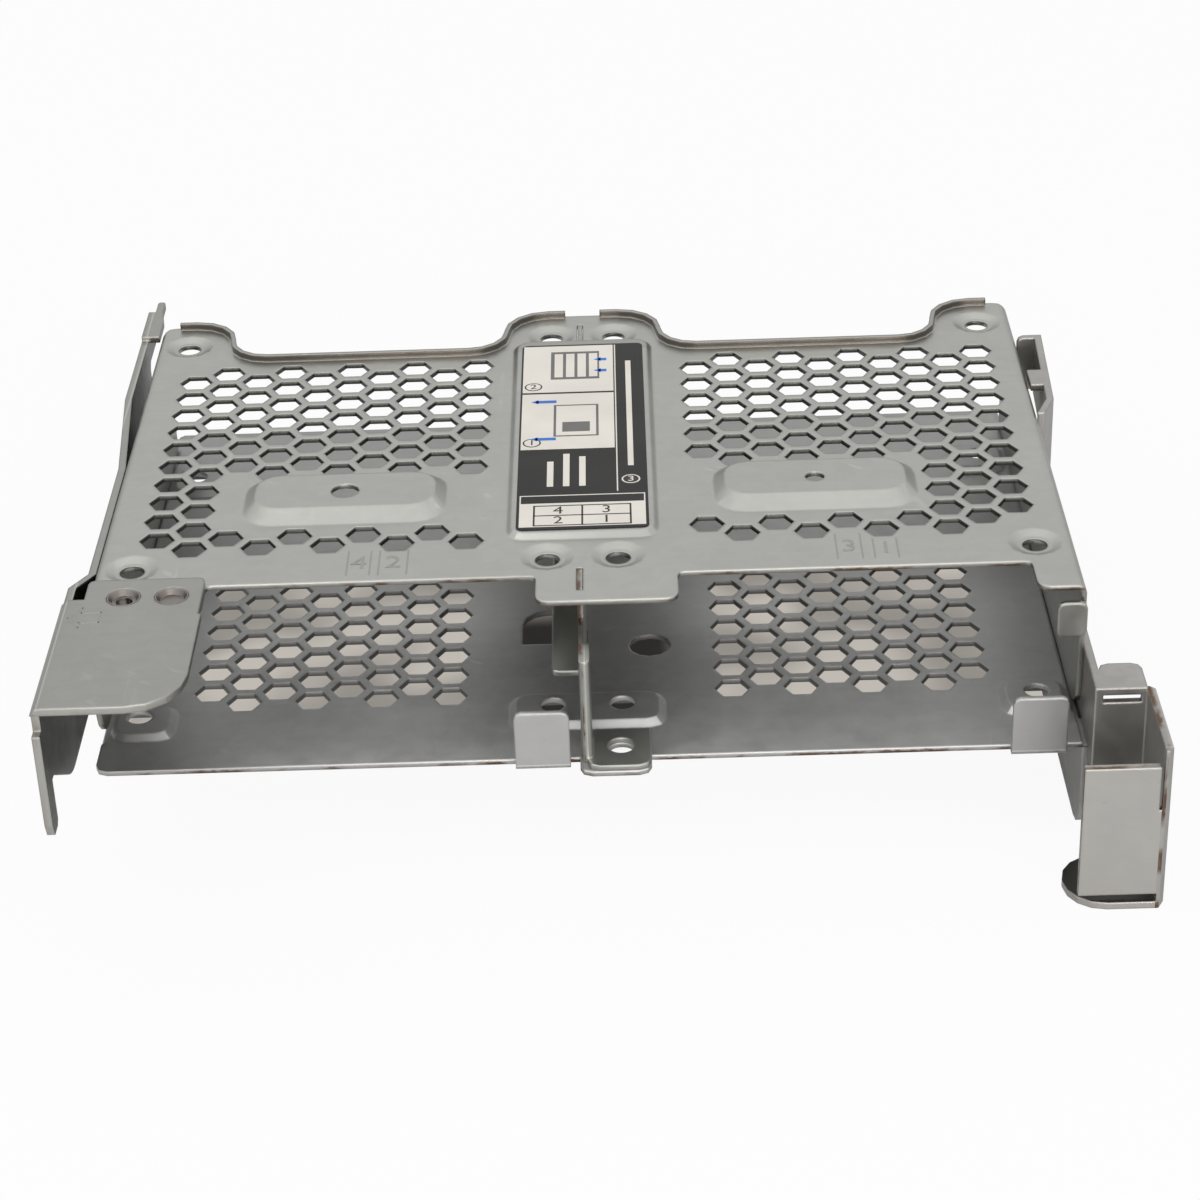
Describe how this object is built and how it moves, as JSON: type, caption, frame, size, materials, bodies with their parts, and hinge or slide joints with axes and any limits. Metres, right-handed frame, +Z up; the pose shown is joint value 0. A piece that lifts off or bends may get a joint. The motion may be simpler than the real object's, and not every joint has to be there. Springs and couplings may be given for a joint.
{
  "type": "hard drive cage",
  "caption": "Perforated folded sheet-steel cage with side brackets that holds small hard drives in stacked, side-by-side bays.",
  "frame": {"origin": "bottom centre of the outer box, level with the underside of the right post's foot", "axes": "+X to the right across both bays, +Y to the rear where drives go in, +Z up through the cover"},
  "size_m": [0.1574, 0.136, 0.0393],
  "materials": {
    "cage_steel": "satin zinc plating",
    "bracket_steel": "satin zinc plating, brown sheared edges",
    "label_film": "printed film"
  },
  "bodies": {
    "root": {"top_cover": "cage_steel", "bottom_plate": "cage_steel", "centre_divider": "cage_steel", "left_bracket": "bracket_steel", "right_bracket": "bracket_steel", "bracket_rivets": "bracket_steel", "label": "label_film"}
  },
  "joints": []
}
